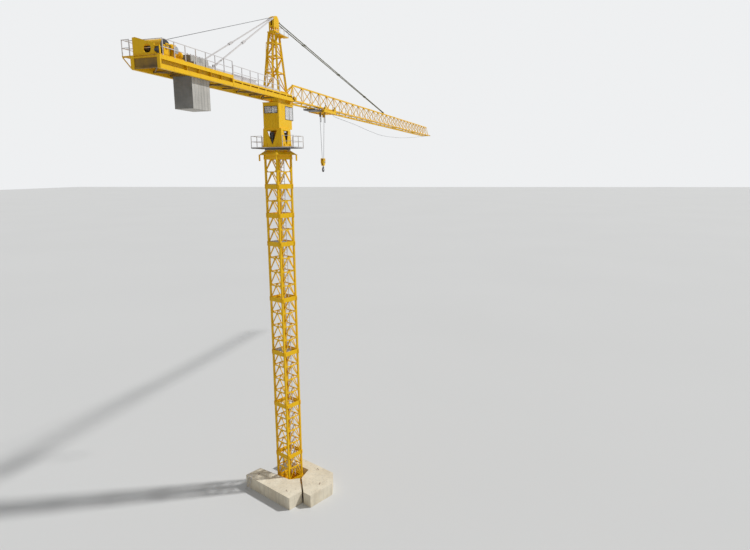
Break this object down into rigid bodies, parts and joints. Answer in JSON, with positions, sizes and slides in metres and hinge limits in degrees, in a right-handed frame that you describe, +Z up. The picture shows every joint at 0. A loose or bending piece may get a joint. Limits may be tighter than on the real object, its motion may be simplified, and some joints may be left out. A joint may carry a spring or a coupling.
{
  "type": "scale model of a tower crane",
  "caption": "Trolley tower crane with lattice mast and jib, counter-jib with concrete slabs, inline cab, tower head with ties, and a hook on rope falls.",
  "frame": {"origin": "centre of the foot plate underside, on the mast axis", "axes": "+X along the jib at rest, +Z up, the counter-jib points along -X"},
  "size_m": [38.75, 4.187, 21.0553],
  "materials": {
    "yellow_paint": "weathered golden yellow paint",
    "pale_paint": "pale grey paint and galvanised steel",
    "olive_paint": "dark olive paint",
    "dark_steel": "dark greased steel",
    "wire_rope": "greased wire",
    "concrete_base": "pale cast concrete",
    "concrete_weight": "grey cast concrete",
    "cab_glass": "clear glass"
  },
  "bodies": {
    "base": {"slab_near": "concrete_base", "slab_far": "concrete_base", "foot_frame": "yellow_paint", "mast_section_1": "yellow_paint", "mast_section_2": "yellow_paint", "mast_section_3": "yellow_paint", "mast_section_4": "yellow_paint", "mast_section_5": "yellow_paint", "mast_section_6": "yellow_paint", "mast_section_7": "yellow_paint", "mast_section_8": "yellow_paint", "mast_ladder": "pale_paint", "slab_ladder": "pale_paint", "slew_support": "yellow_paint", "slew_ring_lower": "dark_steel"},
    "upper": {"slew_ring_upper": "dark_steel", "slew_platform": "pale_paint", "turret": "yellow_paint", "slew_drive": "dark_steel", "cab_shell": "yellow_paint", "cab_glass_front": "cab_glass", "cab_glass_rear": "cab_glass", "turret_crown": "yellow_paint", "tower_head": "yellow_paint", "head_block": "yellow_paint", "head_sheave": "dark_steel", "head_ladder": "yellow_paint", "counter_beam_near": "yellow_paint", "counter_beam_far": "yellow_paint", "end_bracing": "yellow_paint", "walkway_bracing": "yellow_paint", "end_deck": "pale_paint", "walkway_deck": "pale_paint", "railing_near": "pale_paint", "railing_far": "pale_paint", "counterweight": "concrete_weight", "hoist_frame": "yellow_paint", "hoist_drum": "dark_steel", "hoist_motor": "yellow_paint", "power_cabinets": "pale_paint", "counter_tie_near": "pale_paint", "counter_tie_far": "pale_paint", "jib_section_1": "yellow_paint", "jib_section_2": "yellow_paint", "jib_section_3": "yellow_paint", "jib_section_4": "yellow_paint", "jib_section_5": "yellow_paint", "jib_ties": "olive_paint", "hoist_rope": "wire_rope", "trolley_rope": "wire_rope"},
    "trolley": {"trolley_frame": "yellow_paint", "trolley_wheels": "dark_steel", "trolley_basket": "dark_steel", "rope_falls": "wire_rope"},
    "hook": {"hook_block": "yellow_paint", "hook": "dark_steel"}
  },
  "joints": [
    {"name": "slew", "type": "hinge", "parent": "base", "child": "upper", "pos_m": [0, 0, 15.637], "axis": [0, 0, 1], "continuous": true},
    {"name": "trolley_travel", "type": "slide", "parent": "upper", "child": "trolley", "axis": [1, 0, 0], "range_m": [-2.3, 24.1]},
    {"name": "hoist", "type": "slide", "parent": "trolley", "child": "hook", "axis": [0, 0, 1], "range_m": [-14.5, 1.9], "deforming": ["rope_falls"]}
  ]
}
